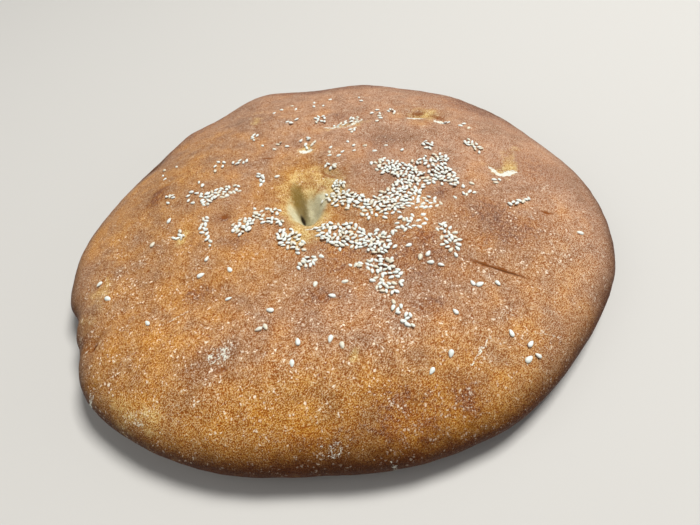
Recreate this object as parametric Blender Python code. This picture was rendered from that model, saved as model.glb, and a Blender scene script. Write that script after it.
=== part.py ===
"""A round leavened flatbread with sesame seeds baked onto its crust, in metres with +Z up.

The loaf lies flat on z = 0. It is one solid: a low dome with a rounded, slightly lobed edge,
a deep finger dimple near the middle, smaller pricks and creases round it, a pinched fold on
the left edge, and the seeds standing proud of the crust. Lengths below are in millimetres.
"""

import math

import bmesh
import bpy
import numpy as np
from mathutils import Matrix, Vector
from mathutils.bvhtree import BVHTree

MM = 0.001

# Section of the loaf, from the edge to the middle
MEAN_RADIUS = 142.0
RIM_HEIGHT = 13.0
CROWN_HEIGHT = 41.0
SHOULDER_POWER = 2.6
FLAT_SHARE = 0.87
EDGE_FADE = 0.05

# Uneven edge: waves round the loaf, their height, and the heading of a crest in degrees
LOBES = (
    (2, 1.4, 35.0),
    (3, 3.3, -25.0),
    (4, 0.7, 32.0),
    (5, 0.6, -21.0),
    (6, 1.7, -10.0),
    (8, 0.3, 3.0),
    (9, 0.5, 19.0),
    (10, 0.4, -2.0),
    (12, 0.4, 3.0),
)

# Pinched edge on the left: heading and half-width in degrees, and depth (a bulge is negative)
DENTS = (
    (192.0, 4.5, -1.3),
    (198.5, 3.2, 2.5),
    (206.5, 3.0, 2.1),
    (217.0, 4.0, -0.7),
)

# Broad swells of the crust: x, y, half-length, half-width, heading in degrees, rise
SWELLS = (
    (-20.0, -98.0, 85.0, 24.0, 4.0, 2.0),
    (-20.0, -60.0, 85.0, 12.0, -4.0, -1.4),
    (-114.0, -44.0, 18.0, 13.0, 60.0, 1.6),
    (45.0, 12.0, 42.0, 30.0, 15.0, 1.2),
    (-66.0, 30.0, 38.0, 30.0, 30.0, 0.8),
    (-10.0, 128.0, 26.0, 26.0, 0.0, -1.6),
    (-66.0, 110.0, 24.0, 24.0, 0.0, -2.0),
    (-108.0, 72.0, 22.0, 22.0, 0.0, -2.9),
    (64.0, 115.0, 22.0, 22.0, 0.0, -1.6),
    (105.0, 82.0, 22.0, 22.0, 0.0, -1.4),
    (-40.0, 125.0, 22.0, 22.0, 0.0, 3.4),
    (30.0, 130.0, 24.0, 24.0, 0.0, 2.4),
    (-90.0, 95.0, 18.0, 18.0, 0.0, 2.0),
)

# Dimples, pricks and creases: x, y, half-length, half-width, heading, depth, sharpness.
# A sharpness of 2 gives a round bowl and 1 gives a cone.
HOLLOWS = (
    (-12.0, -3.0, 25.0, 19.0, 80.0, 3.0, 2.0),
    (-13.0, -8.0, 11.5, 7.5, 97.0, 8.5, 3.0),
    (-14.5, -9.5, 7.5, 2.6, 108.0, 5.0, 2.0),
    (1.0, 16.0, 10.0, 2.2, -32.0, 1.8, 1.3),
    (3.0, 7.0, 6.0, 9.0, 20.0, 1.2, 2.0),
    (-10.0, 41.0, 5.0, 4.0, 60.0, 2.2, 1.4),
    (11.0, 66.0, 11.0, 6.0, 5.0, 2.4, 1.7),
    (57.0, 66.0, 10.0, 4.0, -22.0, 3.0, 1.4),
    (73.0, 57.0, 6.0, 3.5, 70.0, 1.8, 1.6),
    (93.0, 4.0, 6.0, 5.0, 40.0, 3.2, 1.4),
    (100.0, 16.0, 13.0, 4.5, 60.0, 1.3, 2.0),
    (-78.0, -15.0, 4.5, 4.0, 0.0, 1.3, 1.6),
    (-54.0, -8.0, 4.5, 4.0, 0.0, 1.2, 1.6),
    (-52.0, -93.0, 7.0, 5.0, 30.0, 1.3, 1.6),
    (-116.7, -68.0, 4.0, 2.8, 50.0, 1.8, 1.5),
    (-117.0, -64.5, 11.0, 2.4, 24.0, 1.6, 1.6),
    (-126.0, -54.5, 8.0, 3.5, 15.0, 1.6, 1.8),
    (-88.0, -52.0, 36.0, 7.0, 14.0, 0.9, 2.0),
)

# Mesh of the crust: the rings close in on the deep dimple and on the edge
SEGMENTS = 76
CROWN_RINGS = 28
EDGE_RINGS = 5
RING_POWER = 1.35
DIMPLE = (-13.5, -12.0)

# Strewn seeds, patch by patch: x, y, half-length, half-width, heading in degrees, count
PATCHES = (
    (37.0, 9.0, 12.0, 5.5, -35.0, 56),
    (57.0, 13.0, 9.0, 6.0, 0.0, 26),
    (62.0, -1.0, 9.0, 4.5, -70.0, 34),
    (43.0, -5.0, 15.0, 5.5, 20.0, 54),
    (24.0, -19.0, 10.0, 7.0, 0.0, 44),
    (10.0, -10.0, 14.0, 5.0, -38.0, 44),
    (36.0, -16.0, 9.0, 5.0, 30.0, 30),
    (48.0, -20.0, 7.0, 4.0, 0.0, 15),
    (37.0, -33.0, 10.0, 5.0, 25.0, 20),
    (53.5, -46.0, 10.0, 4.0, -85.0, 24),
    (4.0, -34.0, 13.0, 7.0, -35.0, 70),
    (19.0, -42.0, 8.0, 6.0, -30.0, 32),
    (-21.0, -32.0, 9.5, 5.0, -60.0, 32),
    (-12.0, -48.0, 6.5, 2.8, 30.0, 12),
    (21.0, -60.0, 12.0, 6.5, -85.0, 44),
    (10.0, -54.0, 5.0, 1.5, 0.0, 6),
    (24.0, -83.0, 8.0, 2.5, -65.0, 11),
    (-45.0, -18.0, 6.0, 5.0, 55.0, 22),
    (-37.0, -11.0, 4.5, 2.5, -60.0, 9),
    (-30.0, -9.0, 3.5, 1.5, -20.0, 6),
    (-30.0, -17.0, 5.5, 2.0, -15.0, 9),
    (5.5, 4.5, 3.5, 3.5, 0.0, 12),
    (3.0, 21.0, 3.5, 2.0, -30.0, 5),
    (-56.0, 11.0, 8.0, 4.5, 10.0, 26),
    (-65.0, 7.0, 3.0, 5.0, 20.0, 10),
    (-73.0, 14.0, 5.0, 9.0, 0.0, 8),
    (-87.0, 16.0, 4.0, 5.0, 0.0, 5),
    (-65.0, -13.0, 5.0, 1.8, 90.0, 9),
    (-62.0, -23.0, 4.0, 1.5, -75.0, 5),
    (-78.0, -16.0, 4.0, 2.5, 60.0, 6),
    (-36.0, 17.0, 2.0, 8.0, 0.0, 7),
    (-48.0, 36.0, 5.0, 3.5, 0.0, 5),
    (-60.0, 36.0, 6.0, 7.0, 0.0, 5),
    (-41.0, 61.0, 2.5, 4.0, 0.0, 5),
    (-92.0, 46.0, 9.0, 10.0, 0.0, 4),
    (-16.0, 72.0, 4.0, 4.0, 0.0, 4),
    (-30.0, 46.0, 12.0, 5.0, 0.0, 5),
    (-9.0, 46.0, 5.0, 5.0, 60.0, 7),
    (0.0, 71.0, 4.5, 4.5, 0.0, 8),
    (15.0, 65.0, 9.0, 3.5, 25.0, 13),
    (18.5, 53.0, 2.0, 3.0, 0.0, 4),
    (34.0, 67.0, 3.0, 9.0, 0.0, 6),
    (44.0, 70.0, 3.5, 3.5, 0.0, 5),
    (12.0, 32.0, 13.0, 7.0, 0.0, 9),
    (38.0, 28.0, 12.0, 5.0, 0.0, 3),
    (59.0, 28.0, 3.0, 4.0, 0.0, 7),
    (84.0, 26.0, 4.0, 6.5, 20.0, 12),
    (84.0, 48.0, 4.0, 3.0, 0.0, 3),
    (73.0, 54.0, 2.5, 3.0, 0.0, 4),
    (95.0, -23.0, 7.0, 1.2, 18.0, 7),
    (88.0, -7.0, 3.0, 1.5, 0.0, 3),
    (67.0, -14.0, 8.0, 6.0, 0.0, 6),
    (2.0, 92.0, 30.0, 8.0, 0.0, 10),
)

# Seeds that lie alone: x, y
STRAYS = (
    (68.0, -96.0), (75.0, -100.5), (77.0, -105.0), (72.5, -106.5), (41.0, -103.0), (32.0, -109.0),
    (58.0, -71.0), (61.0, -72.0), (69.0, -72.0), (47.0, -85.0), (118.0, -44.0), (34.0, -46.5),
    (38.0, -54.0), (42.0, -57.5), (46.5, -59.5), (42.0, -52.5), (-20.0, -90.0), (-6.5, -91.0),
    (-2.0, -94.5), (-23.0, -99.0), (-36.5, -81.0), (-33.5, -80.5), (-31.5, -72.0), (-11.0, -61.0),
    (2.5, -62.0), (-4.0, -69.0), (-50.5, -61.5), (-50.5, -45.0), (-64.5, -45.0), (-62.0, -36.0),
    (-88.0, -66.0), (-111.0, -46.0), (-118.5, -34.0), (-92.0, -18.0), (-85.0, -3.0), (-27.0, 18.0),
)
SEED_LENGTH = 2.8
SEED_WIDTH = 1.95
SEED_THICKNESS = 1.3
SEED_TAPER = 0.5
TAPER_POWER = 1.3
SEED_LIFT = 0.2
SEED_SIZES = (0.88, 1.12)
SEED_OVERLAP = 0.18
SCATTER = 0.14
TRIES = 30
FUSED_SPACING = 4.1
FUSED_MOST = 150
DRAW = 20

SHARP_ANGLE = 35.0
CRUST_COLOUR = (0.45, 0.235, 0.10)
SEED_COLOUR = (0.78, 0.68, 0.50)


def turned(x, y, heading):
    """Plan offsets turned into lengths along and across a heading in degrees."""
    c = np.cos(np.radians(heading))
    s = np.sin(np.radians(heading))
    return c * x + s * y, c * y - s * x


def edge_radius(angle):
    """How far the edge of the loaf is from the middle, at an angle in radians."""
    radius = MEAN_RADIUS
    for waves, height, crest in LOBES:
        radius = radius + height * np.cos(waves * (angle - np.radians(crest)))
    for heading, half_width, depth in DENTS:
        away = (np.degrees(angle) - heading + 180.0) % 360.0 - 180.0
        radius = radius - depth * np.exp(-((away / half_width) ** 2))
    return radius


def crust_height(x, y):
    """Height of the crust over the table at plan points x, y."""
    share = np.hypot(x, y) / edge_radius(np.arctan2(y, x))
    share = np.clip(share, 0.0, 1.0)
    height = RIM_HEIGHT + (CROWN_HEIGHT - RIM_HEIGHT) * np.sqrt(1.0 - share**SHOULDER_POWER)
    fade = np.clip((1.0 - share) / EDGE_FADE, 0.0, 1.0)
    for cx, cy, half_length, half_width, heading, rise in SWELLS:
        along, across = turned(x - cx, y - cy, heading)
        height = height + fade * rise * np.exp(-((along / half_length) ** 2) - (across / half_width) ** 2)
    for cx, cy, half_length, half_width, heading, depth, sharpness in HOLLOWS:
        along, across = turned(x - cx, y - cy, heading)
        away = np.hypot(along / half_length, across / half_width)
        height = height - fade * depth * np.exp(-(away**sharpness))
    return height


def seed_reach(seed, way):
    """How far a seed reaches from its middle along a way of the plan in radians."""
    turn = way - math.radians(seed[2])
    half_length = SEED_LENGTH / 2.0
    half_width = SEED_WIDTH / 2.0 * (1.0 - SEED_TAPER / 3.0)
    round_way = math.hypot(half_width * math.cos(turn), half_length * math.sin(turn))
    return seed[3] * half_length * half_width / round_way


def cross(seed, other):
    """Whether two seeds would lie over each other by more than a little."""
    dx = other[0] - seed[0]
    dy = other[1] - seed[1]
    apart = math.hypot(dx, dy)
    if apart > SEED_LENGTH * SEED_SIZES[1]:
        return False
    way = math.atan2(dy, dx)
    return apart < (1.0 - SEED_OVERLAP) * (seed_reach(seed, way) + seed_reach(other, way))


def strewn_seeds():
    """Seeds as (x, y, heading, size), drawn patch by patch and hardly ever one over another."""
    draw = np.random.default_rng(DRAW)
    seeds = [(x, y, draw.uniform(0.0, 360.0), draw.uniform(*SEED_SIZES)) for x, y in STRAYS]
    for cx, cy, half_length, half_width, heading, count in PATCHES:
        laid = 0
        for _ in range(count * TRIES):
            reach = np.sqrt(draw.uniform()) + SCATTER * draw.normal()
            turn = draw.uniform(0.0, 2.0 * np.pi)
            along = half_length * reach * np.cos(turn)
            across = half_width * reach * np.sin(turn)
            dx, dy = turned(along, across, -heading)
            if laid == count:
                break
            seed = (cx + dx, cy + dy, draw.uniform(0.0, 360.0), draw.uniform(*SEED_SIZES))
            if not any(cross(seed, other) for other in seeds):
                seeds.append(seed)
                laid += 1
    return seeds


def fused_seeds(seeds):
    """The largest seeds first, each clear of the ones chosen before it."""
    chosen = []
    for seed in sorted(seeds, key=lambda one: -one[3]):
        if len(chosen) == FUSED_MOST:
            break
        away = [np.hypot(seed[0] - other[0], seed[1] - other[1]) for other in chosen]
        if not away or min(away) > FUSED_SPACING:
            chosen.append(seed)
    return chosen


def new_material(name, colour, roughness):
    material = bpy.data.materials.new(name)
    material.use_nodes = True
    shader = material.node_tree.nodes["Principled BSDF"]
    shader.inputs["Base Color"].default_value = (*colour, 1.0)
    shader.inputs["Roughness"].default_value = roughness
    shader.inputs["Metallic"].default_value = 0.0
    material.diffuse_color = (*colour, 1.0)
    return material


def new_object(name, bm, material, collection):
    mesh = bpy.data.meshes.new(name)
    bm.to_mesh(mesh)
    bm.free()
    mesh.materials.append(material)
    made = bpy.data.objects.new(name, mesh)
    collection.objects.link(made)
    return made


def crust_solid():
    """A sphere reshaped ring by ring: its upper half to the crust, its lower half to the edge and base."""
    bm = bmesh.new()
    rings = 2 * CROWN_RINGS
    bmesh.ops.create_uvsphere(bm, u_segments=SEGMENTS, v_segments=rings, radius=1.0)
    unused = []
    for vertex in bm.verts:
        angle = np.arctan2(vertex.co.y, vertex.co.x)
        ring = round(np.arccos(np.clip(vertex.co.z, -1.0, 1.0)) / np.pi * rings)
        edge = edge_radius(angle) * np.array((np.cos(angle), np.sin(angle)))
        if ring <= CROWN_RINGS:
            reach = np.sin(np.pi / 2.0 * (ring / CROWN_RINGS) ** RING_POWER)
            x, y = np.array(DIMPLE) + reach * (edge - np.array(DIMPLE))
            vertex.co = Vector((x, y, float(crust_height(x, y)))) * MM
        elif ring <= CROWN_RINGS + EDGE_RINGS:
            tuck = np.pi / 2.0 * (ring - CROWN_RINGS) / EDGE_RINGS
            share = FLAT_SHARE + (1.0 - FLAT_SHARE) * np.cos(tuck)
            height = 0.0 if ring == CROWN_RINGS + EDGE_RINGS else RIM_HEIGHT * (1.0 - np.sin(tuck))
            vertex.co = Vector((share * edge[0], share * edge[1], height)) * MM
        else:
            unused.append(vertex)
    bmesh.ops.delete(bm, geom=unused, context="VERTS")
    bmesh.ops.holes_fill(bm, edges=[edge for edge in bm.edges if edge.is_boundary], sides=0)
    bmesh.ops.recalc_face_normals(bm, faces=bm.faces)
    return bm


def seed_solid():
    """One seed, 1 by 1 by 1: a flattened drop with its tip along +X."""
    bm = bmesh.new()
    bmesh.ops.create_icosphere(bm, subdivisions=1, radius=0.5, matrix=Matrix.Rotation(np.pi / 2.0, 4, "Y"))
    for vertex in bm.verts:
        taper = 1.0 - SEED_TAPER * (0.5 + vertex.co.x) ** TAPER_POWER
        vertex.co.y *= taper
        vertex.co.z *= taper
    bmesh.ops.recalc_face_normals(bm, faces=bm.faces)
    return bm


def seed_pose(seed, surface):
    """Lays a seed flat on the solid's own surface, turned to its heading."""
    x, y, heading, size = seed
    above = Vector((x, y, 2.0 * CROWN_HEIGHT)) * MM
    touch, up, _, _ = surface.ray_cast(above, Vector((0.0, 0.0, -1.0)))
    place = touch / MM + up * SEED_LIFT
    lie = Vector((0.0, 0.0, 1.0)).rotation_difference(up).to_matrix().to_4x4()
    turn = Matrix.Rotation(np.radians(heading), 4, "Z")
    scale = Matrix.Diagonal((SEED_LENGTH * size, SEED_WIDTH * size, SEED_THICKNESS * size, 1.0))
    return Matrix.Scale(MM, 4) @ Matrix.Translation(place) @ lie @ turn @ scale


def fuse(body, others):
    """Joins every object of a collection to the body, then removes them."""
    union = body.modifiers.new("Seeds", "BOOLEAN")
    union.operation = "UNION"
    union.solver = "EXACT"
    union.operand_type = "COLLECTION"
    union.collection = others
    bpy.context.view_layer.update()
    graph = bpy.context.evaluated_depsgraph_get()
    fused = bpy.data.meshes.new_from_object(body.evaluated_get(graph), depsgraph=graph)
    body.modifiers.clear()
    body.data = fused
    for other in list(others.objects):
        bpy.data.objects.remove(other)
    bpy.data.collections.remove(others)


def centre_on_origin(body):
    """Moves the mesh so that the middle of its length and width is over the origin."""
    corners = np.array([vertex.co[:] for vertex in body.data.vertices])
    middle = (corners.min(axis=0) + corners.max(axis=0)) / 2.0
    body.data.transform(Matrix.Translation((-middle[0], -middle[1], 0.0)))


def main():
    for old in list(bpy.data.objects):
        bpy.data.objects.remove(old)
    bread = bpy.data.collections.new("sesame_flatbread")
    toppings = bpy.data.collections.new("seeds_to_fuse")
    bpy.context.scene.collection.children.link(bread)
    bpy.context.scene.collection.children.link(toppings)
    crust = new_material("crust", CRUST_COLOUR, 0.72)
    kernel = new_material("sesame", SEED_COLOUR, 0.5)

    shape = crust_solid()
    surface = BVHTree.FromBMesh(shape)
    loaf = new_object("flatbread", shape, crust, bread)
    for number, seed in enumerate(fused_seeds(strewn_seeds())):
        kernel_object = new_object(f"seed_{number:03d}", seed_solid(), kernel, toppings)
        kernel_object.matrix_world = seed_pose(seed, surface)
    fuse(loaf, toppings)
    centre_on_origin(loaf)
    loaf.data.shade_smooth()
    loaf.data.set_sharp_from_angle(angle=np.radians(SHARP_ANGLE))


main()
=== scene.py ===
"""Looks of a round sesame flatbread: the baked crust, and the seeds strewn over it.

Lengths are in millimetres, and the loaf's own plan has +X to the right and +Y away from the camera.
"""

import math

import bmesh
import bpy
import numpy as np
from mathutils import Matrix, Vector


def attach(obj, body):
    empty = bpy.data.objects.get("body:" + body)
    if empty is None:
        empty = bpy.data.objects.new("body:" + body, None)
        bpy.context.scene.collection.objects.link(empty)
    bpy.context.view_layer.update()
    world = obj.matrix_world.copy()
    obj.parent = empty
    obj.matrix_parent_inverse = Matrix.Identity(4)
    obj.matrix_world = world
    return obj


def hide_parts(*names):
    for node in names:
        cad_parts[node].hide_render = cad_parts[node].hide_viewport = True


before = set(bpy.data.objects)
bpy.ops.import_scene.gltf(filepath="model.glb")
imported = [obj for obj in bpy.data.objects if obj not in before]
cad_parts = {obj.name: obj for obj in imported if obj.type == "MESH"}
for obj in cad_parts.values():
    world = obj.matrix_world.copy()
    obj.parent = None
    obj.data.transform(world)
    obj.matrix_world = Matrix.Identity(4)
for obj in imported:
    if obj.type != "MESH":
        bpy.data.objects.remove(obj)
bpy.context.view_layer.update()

MM = 0.001

# Section of the loaf, from the edge to the middle
MEAN_RADIUS = 142.0
RIM_HEIGHT = 13.0
CROWN_HEIGHT = 41.0
SHOULDER_POWER = 2.6
FLAT_SHARE = 0.87
EDGE_FADE = 0.05
SLOPE_STEP = 0.6

# Uneven edge: waves round the loaf, their height, and the heading of a crest in degrees
LOBES = (
    (2, 1.4, 35.0),
    (3, 3.3, -25.0),
    (4, 0.7, 32.0),
    (5, 0.6, -21.0),
    (6, 1.7, -10.0),
    (8, 0.3, 3.0),
    (9, 0.5, 19.0),
    (10, 0.4, -2.0),
    (12, 0.4, 3.0),
)
EDGE_SAMPLES = 76

# Pinched edge on the left: heading and half-width in degrees, and depth (a bulge is negative)
DENTS = (
    (192.0, 4.5, -1.3),
    (198.5, 3.2, 2.5),
    (206.5, 3.0, 2.1),
    (217.0, 4.0, -0.7),
)

# Broad swells of the crust: x, y, half-length, half-width, heading in degrees, rise
SWELLS = (
    (-20.0, -98.0, 85.0, 24.0, 4.0, 2.0),
    (-20.0, -60.0, 85.0, 12.0, -4.0, -1.4),
    (-114.0, -44.0, 18.0, 13.0, 60.0, 1.6),
    (45.0, 12.0, 42.0, 30.0, 15.0, 1.2),
    (-66.0, 30.0, 38.0, 30.0, 30.0, 0.8),
    (-10.0, 128.0, 26.0, 26.0, 0.0, -1.6),
    (-66.0, 110.0, 24.0, 24.0, 0.0, -2.0),
    (-108.0, 72.0, 22.0, 22.0, 0.0, -2.9),
    (64.0, 115.0, 22.0, 22.0, 0.0, -1.6),
    (105.0, 82.0, 22.0, 22.0, 0.0, -1.4),
    (-40.0, 125.0, 22.0, 22.0, 0.0, 3.4),
    (30.0, 130.0, 24.0, 24.0, 0.0, 2.4),
    (-90.0, 95.0, 18.0, 18.0, 0.0, 2.0),
)

# Dimples, pricks and creases: x, y, half-length, half-width, heading, depth, sharpness.
# A sharpness of 2 gives a round bowl and 1 gives a cone.
HOLLOWS = (
    (-12.0, -3.0, 25.0, 19.0, 80.0, 3.0, 2.0),
    (-13.0, -8.0, 11.5, 7.5, 97.0, 8.5, 3.0),
    (-14.5, -9.5, 7.5, 2.6, 108.0, 5.0, 2.0),
    (1.0, 16.0, 10.0, 2.2, -32.0, 1.8, 1.3),
    (3.0, 7.0, 6.0, 9.0, 20.0, 1.2, 2.0),
    (-10.0, 41.0, 5.0, 4.0, 60.0, 2.2, 1.4),
    (11.0, 66.0, 11.0, 6.0, 5.0, 2.4, 1.7),
    (57.0, 66.0, 10.0, 4.0, -22.0, 3.0, 1.4),
    (73.0, 57.0, 6.0, 3.5, 70.0, 1.8, 1.6),
    (93.0, 4.0, 6.0, 5.0, 40.0, 3.2, 1.4),
    (100.0, 16.0, 13.0, 4.5, 60.0, 1.3, 2.0),
    (-78.0, -15.0, 4.5, 4.0, 0.0, 1.3, 1.6),
    (-54.0, -8.0, 4.5, 4.0, 0.0, 1.2, 1.6),
    (-52.0, -93.0, 7.0, 5.0, 30.0, 1.3, 1.6),
    (-116.7, -68.0, 4.0, 2.8, 50.0, 1.8, 1.5),
    (-117.0, -64.5, 11.0, 2.4, 24.0, 1.6, 1.6),
    (-126.0, -54.5, 8.0, 3.5, 15.0, 1.6, 1.8),
    (-88.0, -52.0, 36.0, 7.0, 14.0, 0.9, 2.0),
)

# Marks too fine for the solid: x, y, half-length, half-width, heading, depth, sharpness
FINE_MARKS = (
    (71.5, -63.5, 13.0, 1.0, -27.5, 0.7, 1.6),
    (106.0, -30.5, 2.6, 1.6, -15.0, 1.2, 1.8),
    (-116.7, -67.5, 2.8, 1.4, 60.0, 1.4, 1.8),
    (-114.5, -92.0, 7.0, 1.6, 50.0, 0.9, 1.8),
    (-55.0, -7.5, 2.8, 2.4, 0.0, 0.9, 1.8),
    (-53.0, -95.5, 4.0, 2.2, 15.0, 1.2, 1.8),
    (-58.0, -88.0, 6.0, 4.0, 20.0, -0.6, 2.0),
    (-64.0, -54.0, 4.0, 3.0, 0.0, 0.5, 1.8),
    (-48.0, -28.0, 4.0, 3.0, 0.0, 0.5, 1.8),
    (-96.0, 21.0, 6.0, 4.5, 75.0, -0.8, 2.4),
    (58.0, 66.0, 6.0, 1.6, -8.0, 0.9, 1.6),
    (70.0, 61.0, 5.0, 1.6, -35.0, 0.9, 1.6),
)

# Strewn seeds, patch by patch: x, y, half-length, half-width, heading in degrees, count
PATCHES = (
    (37.0, 9.0, 12.0, 5.5, -35.0, 56),
    (57.0, 13.0, 9.0, 6.0, 0.0, 26),
    (62.0, -1.0, 9.0, 4.5, -70.0, 34),
    (43.0, -5.0, 15.0, 5.5, 20.0, 54),
    (24.0, -19.0, 10.0, 7.0, 0.0, 44),
    (10.0, -10.0, 14.0, 5.0, -38.0, 44),
    (36.0, -16.0, 9.0, 5.0, 30.0, 30),
    (48.0, -20.0, 7.0, 4.0, 0.0, 15),
    (37.0, -33.0, 10.0, 5.0, 25.0, 20),
    (53.5, -46.0, 10.0, 4.0, -85.0, 24),
    (4.0, -34.0, 13.0, 7.0, -35.0, 70),
    (19.0, -42.0, 8.0, 6.0, -30.0, 32),
    (-21.0, -32.0, 9.5, 5.0, -60.0, 32),
    (-12.0, -48.0, 6.5, 2.8, 30.0, 12),
    (21.0, -60.0, 12.0, 6.5, -85.0, 44),
    (10.0, -54.0, 5.0, 1.5, 0.0, 6),
    (24.0, -83.0, 8.0, 2.5, -65.0, 11),
    (-45.0, -18.0, 6.0, 5.0, 55.0, 22),
    (-37.0, -11.0, 4.5, 2.5, -60.0, 9),
    (-30.0, -9.0, 3.5, 1.5, -20.0, 6),
    (-30.0, -17.0, 5.5, 2.0, -15.0, 9),
    (5.5, 4.5, 3.5, 3.5, 0.0, 12),
    (3.0, 21.0, 3.5, 2.0, -30.0, 5),
    (-56.0, 11.0, 8.0, 4.5, 10.0, 26),
    (-65.0, 7.0, 3.0, 5.0, 20.0, 10),
    (-73.0, 14.0, 5.0, 9.0, 0.0, 8),
    (-87.0, 16.0, 4.0, 5.0, 0.0, 5),
    (-65.0, -13.0, 5.0, 1.8, 90.0, 9),
    (-62.0, -23.0, 4.0, 1.5, -75.0, 5),
    (-78.0, -16.0, 4.0, 2.5, 60.0, 6),
    (-36.0, 17.0, 2.0, 8.0, 0.0, 7),
    (-48.0, 36.0, 5.0, 3.5, 0.0, 5),
    (-60.0, 36.0, 6.0, 7.0, 0.0, 5),
    (-41.0, 61.0, 2.5, 4.0, 0.0, 5),
    (-92.0, 46.0, 9.0, 10.0, 0.0, 4),
    (-16.0, 72.0, 4.0, 4.0, 0.0, 4),
    (-30.0, 46.0, 12.0, 5.0, 0.0, 5),
    (-9.0, 46.0, 5.0, 5.0, 60.0, 7),
    (0.0, 71.0, 4.5, 4.5, 0.0, 8),
    (15.0, 65.0, 9.0, 3.5, 25.0, 13),
    (18.5, 53.0, 2.0, 3.0, 0.0, 4),
    (34.0, 67.0, 3.0, 9.0, 0.0, 6),
    (44.0, 70.0, 3.5, 3.5, 0.0, 5),
    (12.0, 32.0, 13.0, 7.0, 0.0, 9),
    (38.0, 28.0, 12.0, 5.0, 0.0, 3),
    (59.0, 28.0, 3.0, 4.0, 0.0, 7),
    (84.0, 26.0, 4.0, 6.5, 20.0, 12),
    (84.0, 48.0, 4.0, 3.0, 0.0, 3),
    (73.0, 54.0, 2.5, 3.0, 0.0, 4),
    (95.0, -23.0, 7.0, 1.2, 18.0, 7),
    (88.0, -7.0, 3.0, 1.5, 0.0, 3),
    (67.0, -14.0, 8.0, 6.0, 0.0, 6),
    (2.0, 92.0, 30.0, 8.0, 0.0, 10),
)

# Seeds that lie alone: x, y
STRAYS = (
    (68.0, -96.0), (75.0, -100.5), (77.0, -105.0), (72.5, -106.5), (41.0, -103.0), (32.0, -109.0),
    (58.0, -71.0), (61.0, -72.0), (69.0, -72.0), (47.0, -85.0), (118.0, -44.0), (34.0, -46.5),
    (38.0, -54.0), (42.0, -57.5), (46.5, -59.5), (42.0, -52.5), (-20.0, -90.0), (-6.5, -91.0),
    (-2.0, -94.5), (-23.0, -99.0), (-36.5, -81.0), (-33.5, -80.5), (-31.5, -72.0), (-11.0, -61.0),
    (2.5, -62.0), (-4.0, -69.0), (-50.5, -61.5), (-50.5, -45.0), (-64.5, -45.0), (-62.0, -36.0),
    (-88.0, -66.0), (-111.0, -46.0), (-118.5, -34.0), (-92.0, -18.0), (-85.0, -3.0), (-27.0, 18.0),
)
SEED_LENGTH = 2.8
SEED_WIDTH = 1.95
SEED_THICKNESS = 1.3
SEED_TAPER = 0.5
TAPER_POWER = 1.3
SEED_SEGMENTS = 12
SEED_RINGS = 9
SEED_LIFT = 0.3
SEED_SIZES = (0.88, 1.12)
STRAY_SIZE = 1.28
SEED_OVERLAP = 0.18
SCATTER = 0.14
TRIES = 30
DRAW = 20

# Seeds with close neighbours lie higher, and lean and roll by more degrees: when free, and added when piled
PILED_SPACING = 2.2
PILED_LIFT = 0.3
PILED_MOST = 2
LEAN = (5.0, 9.0)
ROLL = (6.0, 10.0)
SLIMNESS = (0.9, 1.1)

# Baking marks, and painted shade along the rim, patch by patch: x, y, half-length, half-width, heading in
# degrees, strength
BROWNED_AND_SHADED = (
    (80.0, -36.0, 22.0, 16.0, -25.0, 0.75),
    (55.0, -14.0, 7.0, 4.0, 10.0, 1.0),
    (44.0, -43.0, 7.0, 4.0, 20.0, 0.6),
    (20.0, -48.0, 42.0, 18.0, -5.0, 0.55),
    (-16.0, -128.0, 40.0, 8.0, 0.0, 0.5),
    (-10.0, -68.0, 13.0, 6.0, -10.0, 0.6),
    (36.0, -80.0, 9.0, 5.0, 0.0, 0.55),
    (18.0, -118.0, 13.0, 6.0, 0.0, 0.8),
    (44.0, -118.0, 10.0, 7.0, 0.0, 0.9),
    (20.0, -128.0, 17.0, 8.0, 0.0, 0.6),
    (-64.0, -54.0, 8.0, 6.0, 0.0, 0.7),
    (-48.0, -28.0, 8.0, 5.0, 0.0, 0.65),
    (-55.0, -8.0, 5.0, 4.0, 0.0, 0.8),
    (-96.0, 21.0, 9.0, 6.5, 75.0, 1.0),
    (35.0, 38.0, 12.0, 10.0, 0.0, 0.5),
    (112.0, 6.0, 22.0, 15.0, -10.0, 0.5),
    (10.0, 73.0, 10.0, 5.0, 0.0, 0.6),
    (-62.0, 70.0, 8.0, 6.0, 0.0, 0.45),
    (-123.5, -61.5, 7.0, 4.5, 20.0, 0.8),
    (-60.0, -92.0, 12.0, 7.0, 0.0, 0.5),
    (85.0, -98.0, 14.0, 9.0, 40.0, 0.4),
    (-95.0, -62.0, 12.0, 6.0, 35.0, 0.35),
    # Painted shade: these three rows darken the back rim where the light falls off
    (15.0, 130.0, 75.0, 17.0, -4.0, 0.85),
    (98.0, 88.0, 50.0, 22.0, -48.0, 0.75),
    (-88.0, 100.0, 46.0, 15.0, 42.0, 0.75),
    (42.0, -64.0, 34.0, 20.0, -10.0, 0.28),
    (5.0, -12.0, 75.0, 50.0, 0.0, 0.24),
    (-99.0, 23.0, 5.0, 4.0, 60.0, 0.9),
)
GOLDEN = (
    (0.0, -127.0, 125.0, 33.0, 2.0, 0.9),
    (-85.0, -65.0, 70.0, 60.0, 0.0, 0.5),
    (-98.0, 15.0, 50.0, 62.0, 0.0, 0.5),
    (-60.0, 60.0, 60.0, 50.0, 40.0, 0.3),
    (20.0, -35.0, 80.0, 48.0, 0.0, 0.4),
    (-15.0, 11.0, 27.0, 22.0, 60.0, 0.75),
    (62.0, 66.0, 18.0, 13.0, 0.0, 0.4),
    (85.0, -75.0, 50.0, 40.0, 30.0, 0.35),
    (4.0, -22.0, 26.0, 16.0, -15.0, 0.4),
    (-98.0, -97.0, 42.0, 24.0, -40.0, 0.6),
)
# Painted shade along the front edge, where the rim turns away from the light
FRONT_EDGE_SHADE = (
    (-25.0, -142.0, 65.0, 16.0, 4.0, 0.18),
)
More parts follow.
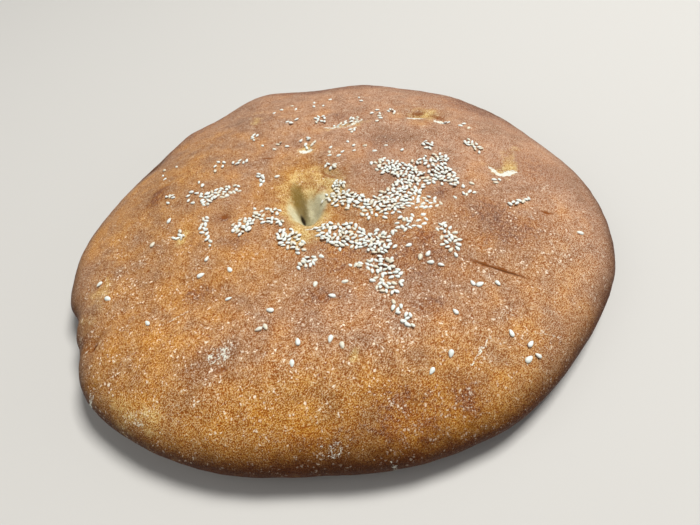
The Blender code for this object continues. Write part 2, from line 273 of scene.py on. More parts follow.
PALE = (
    (-13.0, -12.0, 20.0, 12.0, 96.0, 1.0),
    (-11.0, 8.0, 21.0, 18.0, 70.0, 0.42),
    (-16.0, -33.0, 9.0, 5.0, -15.0, 0.7),
    (4.0, 4.0, 6.0, 14.0, 15.0, 0.75),
    (-10.0, 41.0, 6.0, 4.5, 60.0, 0.7),
    (14.0, 61.0, 15.0, 4.5, 12.0, 0.6),
    (64.0, 66.0, 12.0, 7.0, -15.0, 0.65),
    (95.0, 5.0, 10.0, 7.0, 50.0, 0.75),
    (104.0, 20.0, 12.0, 6.0, 60.0, 0.4),
    (-78.0, -16.0, 6.0, 3.5, 80.0, 0.75),
    (-42.0, 86.0, 8.0, 10.0, 0.0, 0.35),
    (-22.0, -109.0, 12.0, 8.0, -20.0, 0.3),
    (-88.0, -106.0, 20.0, 9.0, -30.0, 0.45),
    (-118.0, -44.0, 18.0, 8.0, 60.0, 0.4),
    (2.0, -99.0, 3.0, 2.5, 0.0, 0.7),
)
RAW = (
    (-12.0, -8.0, 11.0, 7.5, 97.0, 1.0),
    (-5.0, -5.0, 8.0, 5.0, 70.0, 0.85),
    (-19.5, -9.0, 8.0, 4.0, 100.0, 0.6),
)
FLOURED = (
    (-30.0, -92.0, 100.0, 40.0, 3.0, 0.9),
    (-100.0, -60.0, 40.0, 50.0, 0.0, 0.9),
    (80.0, -45.0, 40.0, 34.0, 0.0, 0.7),
    (0.0, -60.0, 140.0, 90.0, 0.0, 0.5),
    (20.0, 70.0, 130.0, 80.0, 0.0, 0.35),
)
DRAWN = (
    (-80.0, -62.0, 55.0, 26.0, 15.0, 1.0),
)

# Strokes of colour too fine for the mesh: x, y, half-length, half-width, heading in degrees, strength
TORN = (
    (71.5, -63.5, 14.5, 1.1, -27.5, 1.0),
    (62.0, -46.5, 8.0, 0.5, -30.0, 0.4),
    (66.0, -55.0, 9.0, 0.4, -28.0, 0.3),
    (-32.0, 36.0, 3.6, 1.0, -8.0, 0.85),
    (1.0, 15.0, 6.5, 1.1, -45.0, 0.7),
    (106.0, -30.5, 3.0, 1.4, -15.0, 1.0),
    (-116.7, -67.5, 2.8, 1.3, 60.0, 1.0),
    (-53.0, -95.5, 3.4, 1.3, 15.0, 0.8),
    (-55.0, -7.5, 2.2, 1.8, 0.0, 0.8),
    (60.5, 68.2, 3.6, 1.2, -8.0, 0.8),
    (71.0, 62.0, 5.0, 1.5, -35.0, 0.7),
    (-118.0, -65.0, 8.0, 0.9, 24.0, 0.5),
)
CRUMB = (
    (-10.5, 39.5, 4.6, 2.2, 8.0, 0.9),
    (8.0, 60.0, 7.0, 1.7, -18.0, 0.7),
    (20.0, 62.0, 7.5, 1.8, 35.0, 0.7),
    (89.5, 3.0, 4.8, 2.0, -60.0, 0.8),
    (95.0, 0.5, 5.8, 3.0, 12.0, 1.0),
    (57.0, 61.0, 5.5, 1.8, -18.0, 0.95),
    (71.5, 54.5, 4.5, 2.0, -20.0, 0.9),
    (-53.0, -89.5, 7.5, 4.0, 20.0, 0.45),
    (-89.0, -107.0, 5.0, 3.5, -30.0, 0.32),
    (-10.0, -131.0, 5.5, 3.5, 0.0, 0.28),
    (53.5, -102.5, 9.0, 0.6, 45.0, 0.55),
    (-73.0, -66.0, 10.0, 0.5, 18.0, 0.45),
    (71.0, -88.0, 5.0, 0.4, -25.0, 0.35),
    (85.0, -96.5, 6.0, 0.4, -8.0, 0.35),
    (-6.0, -26.5, 9.0, 1.0, -7.0, 0.8),
    (-118.5, -67.0, 5.0, 0.6, 28.0, 0.4),
    (-115.0, -92.0, 4.5, 1.6, 45.0, 0.5),
    (12.4, -138.0, 2.6, 0.5, -30.0, 0.5),
)
# Painted shade on the steep back wall of the dimple
DIMPLE_WALL_SHADE = (
    (-16.4, 1.5, 9.5, 3.8, 100.0, 0.85),
)
# Painted shadow deep in the dimple's holes, in the slit and in the fold's hole
HOLE_SHADOWS = (
    (72.0, -64.0, 12.0, 0.45, -27.5, 0.55),
    (-15.8, -6.0, 2.6, 1.1, 105.0, 1.0),
    (-13.4, -10.5, 2.2, 0.9, 118.0, 0.95),
    (-116.7, -67.5, 1.7, 0.6, 60.0, 0.5),
)

# Patches fade by this power, strokes between these shares of their reach, and strokes go through the loaf
PATCH_SHARPNESS = 2.4
STROKE_FADE = (1.4, 0.5)
STROKE_HEIGHT = 1000.0

# Lumps are sums of this many waves, whose sizes vary between these shares
WAVES = 24
WAVE_SIZES = (0.6, 1.4)

# Unevenness too small for the solid: size of the lumps, height
RELIEF = (
    (26.0, 0.30),
    (10.0, 0.16),
    (4.5, 0.09),
    (2.4, 0.05),
)

# Strands of drawn dough: heading in degrees, length over width, width, height
STRANDS = (32.0, 5.0, 2.6, 0.14)
STRANDS_DRAW = 5

# How far the edges of the baking marks stray: size of the waves, reach
STRAYING = (
    (15.0, 2.2),
    (5.0, 1.2),
)
STRAYING_DRAWS = (10, 20, 30)

# Painted shade: the crust darkens to deep brown from this high above the rim downwards, and it is smooth
# near the table
RIM_SHADE_REACH = 14.0
SMOOTH_REACH = 4.0
UNDERSIDE_GOLD = 0.6

# Mesh of the visible crust: sides, and steps between its rings, which close in on the dimple
SEGMENTS = 480
TOP_STEP = 1.0
EDGE_STEP = 1.0
BASE_STEP = 6.0
SECTION_STEPS = 2000
SEAM = 1e-5
DIMPLE = np.array((-13.5, -12.0))

# Camera of the photograph, over the loaf's own plan: a 700 by 525 frame
CAMERA_PLACE = np.array((5.85, -215.11, 217.57))
CAMERA_PITCH = 47.5
CAMERA_ROLL = -8.0
FRAME_WIDTH = 700.0
FOCAL_PIXELS = 526.0
SENSOR_WIDTH = 36.0
NEAREST_SEEN = 0.01

# Studio, in metres: lights by name, place, size, power and colour, and half the floor's width
LIGHTS = (
    ("window", (0.85, 0.5, 2.2), 0.8, 69.5, (1.0, 0.99, 0.96)),
    ("fill", (-0.9, -0.5, 0.8), 1.2, 4.2, (1.0, 0.97, 0.93)),
    ("side", (1.1, -0.25, 0.35), 0.6, 1.6, (0.95, 0.97, 1.0)),
)
ROOM_COLOUR = (0.93, 0.96, 1.0, 1.0)
ROOM_STRENGTH = 0.14
FLOOR_REACH = 4.0


def turned(x, y, heading):
    """Plan offsets turned into lengths along and across a heading in degrees."""
    c = np.cos(np.radians(heading))
    s = np.sin(np.radians(heading))
    return c * x + s * y, c * y - s * x


def edge_radius(angle):
    """How far the edge of the loaf is from the middle, at an angle in radians."""
    radius = MEAN_RADIUS
    for waves, height, crest in LOBES:
        radius = radius + height * np.cos(waves * (angle - np.radians(crest)))
    for heading, half_width, depth in DENTS:
        away = (np.degrees(angle) - heading + 180.0) % 360.0 - 180.0
        radius = radius - depth * np.exp(-((away / half_width) ** 2))
    return radius


def middle_of_plan():
    """Middle of the loaf's length and width, which stands over the frame's origin."""
    angle = np.linspace(0.0, 2.0 * np.pi, EDGE_SAMPLES, endpoint=False)
    points = edge_radius(angle) * np.array((np.cos(angle), np.sin(angle)))
    return (points.min(axis=1) + points.max(axis=1)) / 2.0


MIDDLE = middle_of_plan()


def crust_height(x, y, marks=HOLLOWS):
    """Height of the crust over the table at plan points x, y."""
    share = np.hypot(x, y) / edge_radius(np.arctan2(y, x))
    share = np.clip(share, 0.0, 1.0)
    height = RIM_HEIGHT + (CROWN_HEIGHT - RIM_HEIGHT) * np.sqrt(1.0 - share**SHOULDER_POWER)
    fade = np.clip((1.0 - share) / EDGE_FADE, 0.0, 1.0)
    for cx, cy, half_length, half_width, heading, rise in SWELLS:
        along, across = turned(x - cx, y - cy, heading)
        height = height + fade * rise * np.exp(-((along / half_length) ** 2) - (across / half_width) ** 2)
    for cx, cy, half_length, half_width, heading, depth, sharpness in marks:
        along, across = turned(x - cx, y - cy, heading)
        away = np.hypot(along / half_length, across / half_width)
        height = height - fade * depth * np.exp(-(away**sharpness))
    return height


def crust_normal(x, y):
    """Unit vector standing square to the crust."""
    slope_x = (crust_height(x + SLOPE_STEP, y) - crust_height(x - SLOPE_STEP, y)) / (2.0 * SLOPE_STEP)
    slope_y = (crust_height(x, y + SLOPE_STEP) - crust_height(x, y - SLOPE_STEP)) / (2.0 * SLOPE_STEP)
    return Vector((-slope_x, -slope_y, 1.0)).normalized()


def spread(x, y, patches):
    """How strongly a list of soft patches marks plan points x, y: 0 to 1."""
    clear = np.ones_like(x)
    for cx, cy, half_length, half_width, heading, strength in patches:
        along, across = turned(x - cx, y - cy, heading)
        away = np.hypot(along / half_length, across / half_width)
        clear = clear * (1.0 - strength * np.exp(-(away**PATCH_SHARPNESS)))
    return 1.0 - clear


def section_rings():
    """Rings from the middle of the crust, round the edge, to the middle of the base: shares of the way."""
    share = np.sin(np.linspace(0.0, np.pi / 2.0, SECTION_STEPS))
    height = RIM_HEIGHT + (CROWN_HEIGHT - RIM_HEIGHT) * np.sqrt(1.0 - share**SHOULDER_POWER)
    length = np.cumsum(np.hypot(np.diff(share) * MEAN_RADIUS, np.diff(height)))
    length = np.concatenate(([0.0], length))
    top = np.interp(np.linspace(0.0, length[-1], round(length[-1] / TOP_STEP)), length, share)
    round_edge = np.pi / 4.0 * (MEAN_RADIUS * (1.0 - FLAT_SHARE) + RIM_HEIGHT)
    tuck = np.linspace(0.0, 1.0, round(round_edge / EDGE_STEP))
    flat = np.linspace(0.0, 1.0, round(MEAN_RADIUS * FLAT_SHARE / BASE_STEP))
    return top, tuck[1:], flat[1:]


def rolled_ball(rings):
    """A sphere rolled up from a grid, which is much quicker than a ready one with so many faces."""
    bm = bmesh.new()
    bmesh.ops.create_grid(bm, x_segments=SEGMENTS, y_segments=rings, size=1.0)
    for vertex in bm.verts:
        angle = vertex.co.x * math.pi
        tilt = (1.0 - vertex.co.y) * math.pi / 2.0
        across = math.sin(tilt)
        vertex.co = (across * math.cos(angle), across * math.sin(angle), math.cos(tilt))
    bmesh.ops.remove_doubles(bm, verts=bm.verts, dist=SEAM)
    mesh = bpy.data.meshes.new("loaf_crust")
    bm.to_mesh(mesh)
    bm.free()
    return mesh


def crust_mesh():
    """A sphere reshaped ring by ring to the crust, the rounded edge and the base."""
    top, tuck, flat = section_rings()
    rings = len(top) + len(tuck) + len(flat) - 1
    mesh = rolled_ball(rings)
    ball = np.empty(len(mesh.vertices) * 3, np.float32)
    mesh.vertices.foreach_get("co", ball)
    ball = ball.reshape(-1, 3).astype(float)
    ring = np.rint(np.arccos(np.clip(ball[:, 2], -1.0, 1.0)) / np.pi * rings).astype(int)
    angle = np.arctan2(ball[:, 1], ball[:, 0])
    edge = edge_radius(angle)[:, None] * np.stack((np.cos(angle), np.sin(angle)), axis=1)

    reach = np.concatenate((top, np.ones(len(tuck) + len(flat))))[ring][:, None]
    plan = DIMPLE + reach * (edge - DIMPLE)
    height = crust_height(plan[:, 0], plan[:, 1], HOLLOWS + FINE_MARKS)
    turn = np.concatenate((np.zeros(len(top)), tuck, np.ones(len(flat))))[ring] * np.pi / 2.0
    inward = np.concatenate((np.ones(len(top) + len(tuck)), 1.0 - flat))[ring]
    share = (FLAT_SHARE + (1.0 - FLAT_SHARE) * np.cos(turn)) * inward
    under = ring >= len(top)
    plan[under] = edge[under] * share[under][:, None]
    height[under] = RIM_HEIGHT * (1.0 - np.sin(turn[under]))

    place = np.column_stack((plan, height))
    mesh.vertices.foreach_set("co", (place * MM).astype(np.float32).ravel())
    mesh.update()
    normal = np.empty(len(mesh.vertices) * 3, np.float32)
    mesh.vertex_normals.foreach_get("vector", normal)
    normal = normal.reshape(-1, 3).astype(float)
    rough = np.clip(place[:, 2] / SMOOTH_REACH, 0.0, 1.0)
    place += normal * (fine_relief(place) * rough)[:, None]
    strayed = place + np.column_stack([strayed_by(place, first) for first in STRAYING_DRAWS])
    masks = {
        "browned_and_shaded": spread(strayed[:, 0], strayed[:, 1], BROWNED_AND_SHADED),
        "golden": spread(strayed[:, 0], strayed[:, 1], GOLDEN),
        "pale": spread(strayed[:, 0], strayed[:, 1], PALE),
        "raw": spread(place[:, 0], place[:, 1], RAW),
        "floured": spread(strayed[:, 0], strayed[:, 1], FLOURED),
        "drawn": spread(strayed[:, 0], strayed[:, 1], DRAWN),
        # Painted shade along the front edge
        "front_edge_shade": spread(strayed[:, 0], strayed[:, 1], FRONT_EDGE_SHADE),
        # Painted shade, darker from above the rim down to the table
        "rim_shade": np.clip((RIM_HEIGHT + RIM_SHADE_REACH - place[:, 2]) / RIM_SHADE_REACH, 0.0, 1.0),
    }
    for name in ("browned_and_shaded", "golden", "pale", "raw", "floured", "drawn"):
        masks[name][under] = UNDERSIDE_GOLD if name == "golden" else 0.0
    place[:, :2] -= MIDDLE
    mesh.vertices.foreach_set("co", (place * MM).astype(np.float32).ravel())
    for name, values in masks.items():
        kept = mesh.attributes.new(name, "FLOAT", "POINT")
        kept.data.foreach_set("value", values.astype(np.float32))
    mesh.shade_smooth()
    mesh.update()
    return mesh


def lumps(place, size, draw_number):
    """Waves that run every way, with lumps of about this size: -1 to 1 for the most part."""
    draw = np.random.default_rng(draw_number)
    total = np.zeros(len(place))
    for _ in range(WAVES):
        way = draw.normal(size=3)
        way *= np.pi / size * draw.uniform(*WAVE_SIZES) / np.linalg.norm(way)
        total += np.sin(place @ way + draw.uniform(0.0, 2.0 * np.pi))
    return total / np.sqrt(2.0 * WAVES)


def strayed_by(place, draw_number):
    """How far the edges of the baking marks stray at each place, so that they come out uneven."""
    strays = [reach * lumps(place, size, draw_number + k) for k, (size, reach) in enumerate(STRAYING)]
    return sum(strays)


def fine_relief(place):
    """Unevenness that is too small for the solid: broad waves, blisters and drawn strands."""
    relief = sum(height * lumps(place, size, k + 1) for k, (size, height) in enumerate(RELIEF))
    heading, stretch, width, height = STRANDS
    along, across = turned(place[:, 0], place[:, 1], heading)
    strands = np.column_stack((along / stretch, across, place[:, 2]))
    return relief + height * spread(place[:, 0], place[:, 1], DRAWN) * lumps(strands, width, STRANDS_DRAW)


def seed_reach(seed, way):
    """How far a seed reaches from its middle along a way of the plan in radians."""
    turn = way - math.radians(seed[2])
    half_length = SEED_LENGTH / 2.0
    half_width = SEED_WIDTH / 2.0 * (1.0 - SEED_TAPER / 3.0)
    round_way = math.hypot(half_width * math.cos(turn), half_length * math.sin(turn))
    return seed[3] * half_length * half_width / round_way


def cross(seed, other):
    """Whether two seeds would lie over each other by more than a little."""
    dx = other[0] - seed[0]
    dy = other[1] - seed[1]
    apart = math.hypot(dx, dy)
    if apart > SEED_LENGTH * SEED_SIZES[1]:
        return False
    way = math.atan2(dy, dx)
    return apart < (1.0 - SEED_OVERLAP) * (seed_reach(seed, way) + seed_reach(other, way))


def strewn_seeds():
    """Seeds as (x, y, heading, size), drawn patch by patch and hardly ever one over another."""
    draw = np.random.default_rng(DRAW)
    seeds = [(x, y, draw.uniform(0.0, 360.0), draw.uniform(*SEED_SIZES)) for x, y in STRAYS]
    for cx, cy, half_length, half_width, heading, count in PATCHES:
        laid = 0
        for _ in range(count * TRIES):
            reach = np.sqrt(draw.uniform()) + SCATTER * draw.normal()
            turn = draw.uniform(0.0, 2.0 * np.pi)
            along = half_length * reach * np.cos(turn)
            across = half_width * reach * np.sin(turn)
            dx, dy = turned(along, across, -heading)
            if laid == count:
                break
            seed = (cx + dx, cy + dy, draw.uniform(0.0, 360.0), draw.uniform(*SEED_SIZES))
            if not any(cross(seed, other) for other in seeds):
                seeds.append(seed)
                laid += 1
    return seeds


def one_seed():
    """Points and faces of one seed, 1 by 1 by 1: a flattened drop with its tip along +X."""
    bm = bmesh.new()
    lie = Matrix.Rotation(np.pi / 2.0, 4, "Y")
    bmesh.ops.create_uvsphere(bm, u_segments=SEED_SEGMENTS, v_segments=SEED_RINGS, radius=0.5, matrix=lie)
    for vertex in bm.verts:
        taper = 1.0 - SEED_TAPER * (0.5 + vertex.co.x) ** TAPER_POWER
        vertex.co.y *= taper
        vertex.co.z *= taper
    bm.verts.index_update()
    points = np.array([vertex.co[:] for vertex in bm.verts])
    # Sorted, because the faces of the ball come in another order on every run
    faces = sorted([vertex.index for vertex in face.verts] for face in bm.faces)
    bm.free()
    return points, faces


def seeds_mesh():
    """Every strewn seed in one mesh, each lying on the crust or leaning on its neighbour."""
    draw = np.random.default_rng(DRAW + 1)
    points, faces = one_seed()
    size = Vector((SEED_LENGTH, SEED_WIDTH, SEED_THICKNESS))
    laid = []
    corners = []
    polygons = []
    toast = []
    tip = []
    low = []
    for number, (x, y, heading, scale) in enumerate(strewn_seeds()):
        if number < len(STRAYS):
            scale *= STRAY_SIZE
        near = [other for other in laid if np.hypot(other[0] - x, other[1] - y) < PILED_SPACING]
        laid.append((x, y))
        up = crust_normal(x, y)
        lift = SEED_LIFT * scale + PILED_LIFT * min(len(near), PILED_MOST)
        place = Vector((x, y, float(crust_height(x, y)))) + up * lift
        piled = min(len(near), 1)
        lean = draw.normal(0.0, LEAN[0] + LEAN[1] * piled)
        roll = draw.normal(0.0, ROLL[0] + ROLL[1] * piled)
        slim = draw.uniform(*SLIMNESS)
        turn = Matrix.Rotation(np.radians(heading), 4, "Z")
        tilt = Matrix.Rotation(np.radians(lean), 4, "Y") @ Matrix.Rotation(np.radians(roll), 4, "X")
        lie = Vector((0.0, 0.0, 1.0)).rotation_difference(up).to_matrix().to_4x4()
        shape = Matrix.Diagonal((size.x * scale, size.y * scale * slim, size.z * scale, 1.0))
        pose = np.array(Matrix.Translation(place) @ lie @ turn @ tilt @ shape)
        first = (len(laid) - 1) * len(points)
        corners.append(points @ pose[:3, :3].T + pose[:3, 3])
        polygons.extend([[first + index for index in face] for face in faces])
        toast.append(np.full(len(points), draw.uniform()))
        tip.append(points[:, 0] + 0.5)
        low.append(0.5 - points[:, 2])
    corners = np.concatenate(corners)
    corners[:, :2] -= MIDDLE
    mesh = bpy.data.meshes.new("sesame_seeds")
    mesh.from_pydata((corners * MM).tolist(), [], polygons)
    for name, values in (("toast", toast), ("tip", tip), ("low", low)):
        kept = mesh.attributes.new(name, "FLOAT", "POINT")
        kept.data.foreach_set("value", np.concatenate(values).astype(np.float32))
    mesh.shade_smooth()
    return mesh


class Value:
    """A node's output that takes part in sums: each operation adds a Math node."""

    def __init__(self, finish, socket):
        self.finish = finish
        self.socket = socket

    def maths(self, operation, first, second):
        return self.finish.node("ShaderNodeMath", {"operation": operation}, {0: first, 1: second})

    def __add__(self, other):
        return self.maths("ADD", self, other)

    def __radd__(self, other):
        return self.maths("ADD", other, self)

    def __sub__(self, other):
        return self.maths("SUBTRACT", self, other)

    def __rsub__(self, other):
        return self.maths("SUBTRACT", other, self)

    def __mul__(self, other):
        return self.maths("MULTIPLY", self, other)

    def __rmul__(self, other):
        return self.maths("MULTIPLY", other, self)


class Finish:
    """A procedural material: its shader, and shorthand for the nodes that feed it."""

    def __init__(self, name, constants):
        self.material = bpy.data.materials.new(name)
        self.material.use_nodes = True
        self.tree = self.material.node_tree
        self.shader = self.tree.nodes["Principled BSDF"]
        for socket, value in constants.items():
            self.shader.inputs[socket].default_value = value

    def node(self, kind, settings=None, values=None, output=0):
        """Adds a node: its settings are set first, then its sockets take their values or links."""
        made = self.tree.nodes.new(kind)
        for name, setting in (settings or {}).items():
            setattr(made, name, setting)
        for name, value in (values or {}).items():
            if isinstance(value, Value):
                self.tree.links.new(value.socket, made.inputs[name])
            else:
                made.inputs[name].default_value = value
        return Value(self, made.outputs[output])

    def feed(self, socket, value):
        """Links a value that varies over the surface to one of the shader's own sockets."""
        self.tree.links.new(value.socket, self.shader.inputs[socket])

    def millimetres(self):
        """The object's own coordinates, in millimetres."""
        place = self.node("ShaderNodeTexCoord", output="Object")
        return self.node("ShaderNodeVectorMath", {"operation": "SCALE"}, {0: place, "Scale": 1.0 / MM})

    def stretched(self, place, heading, stretch):
        """Coordinates drawn out along a heading of the plan."""
        turn = {"Vector": place, "Rotation": (0.0, 0.0, -np.radians(heading))}
        drawn = self.node("ShaderNodeMapping", {"vector_type": "POINT"}, turn)
        squeeze = {"Vector": drawn, "Scale": (1.0 / stretch, 1.0, 1.0)}
        return self.node("ShaderNodeMapping", {"vector_type": "POINT"}, squeeze)

    def mottle(self, place, size):
        """Soft noise whose lumps are about this many millimetres across: about -1 to 1."""
        values = {"Vector": place, "Scale": 1.0 / size, "Detail": 1.0}
        return self.node("ShaderNodeTexNoise", {"noise_dimensions": "3D", "normalize": False}, values, "Fac")

    def strayed(self, place, size, reach):
        """Coordinates pushed about by up to this many millimetres, for uneven outlines."""
        values = {"Vector": place, "Scale": 1.0 / size, "Detail": 1.0}
        settings = {"noise_dimensions": "3D", "normalize": False}
        push = self.node("ShaderNodeTexNoise", settings, values, "Color")
        pushed = {0: push, 1: (reach,) * 3, 2: place}
        return self.node("ShaderNodeVectorMath", {"operation": "MULTIPLY_ADD"}, pushed)

    def strokes(self, place, marks):
        """1 inside any of a list of long ovals of the plan, falling softly to 0 round them."""
        clear = 1.0
        for x, y, half_length, half_width, heading, strength in marks:
            laid = {
                "Vector": place,
                "Location": (x - MIDDLE[0], y - MIDDLE[1], 0.0),
                "Rotation": (0.0, 0.0, np.radians(heading)),
                "Scale": (half_length, half_width, STROKE_HEIGHT),
            }
            oval = self.node("ShaderNodeMapping", {"vector_type": "TEXTURE"}, laid)
            away = self.node("ShaderNodeVectorMath", {"operation": "LENGTH"}, {0: oval}, "Value")
            clear = clear * (1.0 - self.smooth(away, *STROKE_FADE) * strength)
        return 1.0 - clear

    def cells(self, place, size):
        """Distance to the nearest of many scattered points, in parts of the cell size."""
        values = {"Vector": place, "Scale": 1.0 / size, "Randomness": 1.0}
        return self.node("ShaderNodeTexVoronoi", {"voronoi_dimensions": "3D"}, values, "Distance")

    def smooth(self, value, low, high):
        """Rises softly from 0 at low to 1 at high, or falls where low is the larger."""
        flip = low > high
        ends = {"From Min": min(low, high), "From Max": max(low, high)}
        ends.update({"To Min": 1.0 if flip else 0.0, "To Max": 0.0 if flip else 1.0})
        settings = {"interpolation_type": "SMOOTHSTEP"}
        return self.node("ShaderNodeMapRange", settings, {"Value": value, **ends})

    def mask(self, name):
        return self.node("ShaderNodeAttribute", {"attribute_name": name}, output="Fac")

    def mix(self, share, first, second, blend="MIX"):
        """Blends two colours by a share."""
        settings = {"data_type": "RGBA", "blend_type": blend, "clamp_factor": True}
        return self.node("ShaderNodeMix", settings, {0: share, 6: first, 7: second}, 2)

    def bump(self, height, strength):
        """Normal for a height in millimetres."""
        values = {"Strength": strength, "Distance": MM, "Height": height}
        return self.node("ShaderNodeBump", None, values, "Normal")


def paint(red, green, blue):
    """A colour as the eye reads it, 0 to 255, turned into light."""
    parts = np.array((red, green, blue)) / 255.0
    light = np.where(parts <= 0.04045, parts / 12.92, ((parts + 0.055) / 1.055) ** 2.4)
    return (*light.tolist(), 1.0)


ROSY_CRUST = paint(180, 144, 119)
GOLDEN_CRUST = paint(189, 136, 54)
# Painted shade low on the rim
RIM_SHADE_BROWN = paint(80, 40, 2)
BROWN_CRUST = paint(123, 81, 64)
AMBER_CRUST = paint(136, 78, 38)
SCORCHED = paint(84, 50, 32)
TORN_CRUST = paint(128, 70, 22)
PIT_TINT = paint(198, 146, 70)
PALE_DOUGH = paint(210, 184, 122)
RAW_DOUGH = paint(210, 205, 172)
OLIVE_SHADE = paint(116, 92, 32)
CRUMB_WHITE = paint(228, 229, 216)
HOLE_SHADOW_PAINT = paint(38, 28, 12)
FLOUR = paint(252, 238, 216)
IVORY = paint(232, 238, 232)
HONEY = paint(214, 190, 142)
CARAMEL_AND_SHADE = paint(158, 92, 18)
FLOOR_PAINT = paint(198, 196, 192)


def crust_finish():
    """Matte baked crust: rosy brown, golden at the front, pale where it was pricked, dusty with flour, with
    painted shade low on the rim, in the dimple and in its holes.
    """
    f = Finish("baked_crust", {"Specular IOR Level": 0.12})
    place = f.millimetres()
    uneven = f.strayed(place, 2.0, 0.8)
    floured = f.mask("floured")
    drift = f.mottle(place, 24.0)
    cloud = f.mottle(place, 9.0)
    blotch = f.mottle(place, 4.0)
    mottle = f.mottle(place, 1.8)
    grain = f.mottle(f.stretched(place, 48.0, 1.7), 0.42)
    strands = f.mottle(f.stretched(place, 32.0, 5.0), 1.1)

    golden = f.smooth(f.mask("golden") + 0.22 * drift + 0.18 * cloud, -0.05, 1.05)
    colour = f.mix(golden, ROSY_CRUST, GOLDEN_CRUST)
    # Browned patches of the crust, with painted shade along the back rim
    browned_and_shaded = f.mask("browned_and_shaded") * (0.8 + 0.35 * cloud + 0.5 * blotch + 0.6 * mottle)
    brown = f.mix(golden, BROWN_CRUST, AMBER_CRUST)
    colour = f.mix(f.smooth(browned_and_shaded, 0.05, 0.9) * 0.85, colour, brown)
    # Painted shade: deep brown low on the rim and along the front edge
    rim_shade = f.smooth(f.mask("rim_shade") + f.mask("front_edge_shade") + 0.14 * cloud + 0.10 * blotch, 0.0, 0.9)
    colour = f.mix(rim_shade, colour, RIM_SHADE_BROWN)
    pale = f.mask("pale") + 0.2 * cloud + 0.2 * blotch
    colour = f.mix(f.smooth(pale, 0.18, 0.85), colour, PALE_DOUGH)
    raw = f.mask("raw") + 0.15 * blotch
    colour = f.mix(f.smooth(raw, 0.2, 0.8), colour, RAW_DOUGH)

    scorch = f.smooth(f.mottle(place, 0.9) + 0.5 * blotch, 0.1, 0.5) * f.smooth(browned_and_shaded, 0.2, 0.9)
    colour = f.mix(scorch * 0.45, colour, SCORCHED)

    shade = 1.0 + 0.20 * drift + 0.17 * cloud + 0.09 * blotch + 0.06 * mottle
    colour = f.mix(1.0, colour, shade, "MULTIPLY")
    baked = 1.0 - f.smooth(raw, 0.1, 0.6) * 0.8
    rough = grain + 0.15 * mottle + 0.10 * blotch
    pitted = f.smooth(rough, 0.06, -0.26) * baked * (0.7 + 0.3 * floured)
    colour = f.mix(pitted, colour, PIT_TINT, "MULTIPLY")
    colour = f.mix(f.smooth(rough, -0.18, -0.50) * baked * 0.35, colour, PIT_TINT, "MULTIPLY")
    dusted = (0.06 + 0.26 * floured) * (1.0 - 0.85 * rim_shade)
    colour = f.mix(f.smooth(rough, 0.18, 0.46) * baked * dusted, colour, FLOUR)
    crowd = f.smooth(f.mottle(place, 7.0) + 0.5 * blotch, -0.2, 0.4) * floured * (1.0 - 0.5 * rim_shade)
    flecks = f.smooth(f.cells(uneven, 1.9), 0.30, 0.18) * crowd
    colour = f.mix(flecks * 0.95, colour, FLOUR)

    crumb = f.smooth(f.strokes(uneven, CRUMB) + 0.4 * mottle + 0.4 * grain, 0.3, 0.85)
    colour = f.mix(crumb, colour, CRUMB_WHITE)
    torn = f.strokes(uneven, TORN)
    colour = f.mix(torn, colour, TORN_CRUST)
    # Painted shade on the dimple's back wall
    colour = f.mix(f.strokes(uneven, DIMPLE_WALL_SHADE), colour, OLIVE_SHADE)
    # Painted shadow in the holes and the slit
    hole_shadow = f.strokes(place, HOLE_SHADOWS)
    colour = f.mix(hole_shadow, colour, HOLE_SHADOW_PAINT)
    f.feed("Base Color", colour)
    f.feed("Roughness", 0.58 + 0.15 * mottle)

    height = 0.08 * blotch + 0.11 * mottle + 0.14 * grain + 0.10 * flecks + 0.14 * strands * f.mask("drawn")
    f.feed("Normal", f.bump(height, 0.8))
    return f.material


def sesame_finish():
    """Ivory seeds, some roasted to honey, darker at the tip, and caramel brown low on their sides, partly
    painted shade.
    """
    f = Finish("hulled_sesame", {"Roughness": 0.45, "Specular IOR Level": 0.4})
    toast = f.mask("toast")
    tip = f.mask("tip")
    streak = f.mottle(f.millimetres(), 0.7)
    colour = f.mix(f.smooth(toast, 0.6, 1.0) * 0.5 + f.smooth(tip, 0.8, 1.0) * 0.5, IVORY, HONEY)
    colour = f.mix(1.0, colour, 0.97 + 0.05 * streak, "MULTIPLY")
    # Caramelised underside, partly painted shade low on each seed
    colour = f.mix(f.smooth(f.mask("low"), 0.45, 0.75), colour, CARAMEL_AND_SHADE)
    f.feed("Base Color", colour)
    f.feed("Normal", f.bump(0.05 * streak, 0.6))
    return f.material


def add_piece(mesh, material):
    piece = bpy.data.objects.new(mesh.name, mesh)
    mesh.materials.append(material)
    bpy.context.scene.collection.objects.link(piece)
    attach(piece, "root")
    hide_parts("flatbread")


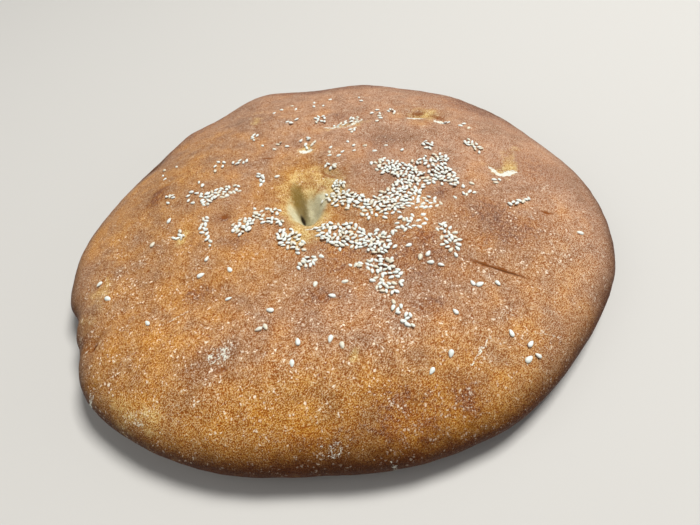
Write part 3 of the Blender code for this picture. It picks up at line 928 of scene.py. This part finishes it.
def add_floor():
    bm = bmesh.new()
    bmesh.ops.create_grid(bm, x_segments=1, y_segments=1, size=FLOOR_REACH)
    mesh = bpy.data.meshes.new("floor")
    bm.to_mesh(mesh)
    bm.free()
    finish = Finish("pale_floor", {"Roughness": 0.8, "Base Color": FLOOR_PAINT})
    mesh.materials.append(finish.material)
    floor = bpy.data.objects.new("floor", mesh)
    bpy.context.scene.collection.objects.link(floor)


def add_light(name, place, size, power, colour):
    """A square studio light aimed at the middle of the loaf."""
    data = bpy.data.lights.new(name, "AREA")
    data.size = size
    data.energy = power
    data.color = colour
    light = bpy.data.objects.new(name, data)
    light.location = place
    light.rotation_euler = (-Vector(place)).to_track_quat("-Z", "Y").to_euler()
    bpy.context.scene.collection.objects.link(light)


def add_world():
    world = bpy.data.worlds.new("soft_room")
    world.use_nodes = True
    background = world.node_tree.nodes["Background"]
    background.inputs["Color"].default_value = ROOM_COLOUR
    background.inputs["Strength"].default_value = ROOM_STRENGTH
    bpy.context.scene.world = world


def add_camera():
    pitch = np.radians(CAMERA_PITCH)
    roll = np.radians(CAMERA_ROLL)
    forward = Vector((0.0, np.cos(pitch), -np.sin(pitch)))
    level = Vector((1.0, 0.0, 0.0))
    upright = level.cross(forward)
    right = np.cos(roll) * level + np.sin(roll) * upright
    up = np.cos(roll) * upright - np.sin(roll) * level
    data = bpy.data.cameras.new("camera")
    data.sensor_width = SENSOR_WIDTH
    data.lens = SENSOR_WIDTH * FOCAL_PIXELS / FRAME_WIDTH
    data.clip_start = NEAREST_SEEN
    camera = bpy.data.objects.new("camera", data)
    place = (CAMERA_PLACE - np.array((*MIDDLE, 0.0))) * MM
    turn = Matrix((right, up, -forward)).transposed().to_4x4()
    camera.matrix_world = Matrix.Translation(place) @ turn
    bpy.context.scene.collection.objects.link(camera)
    bpy.context.scene.camera = camera


add_camera()
add_piece(crust_mesh(), crust_finish())
add_piece(seeds_mesh(), sesame_finish())
add_floor()
add_world()
for light in LIGHTS:
    add_light(*light)
bpy.context.scene.view_settings.view_transform = "Standard"
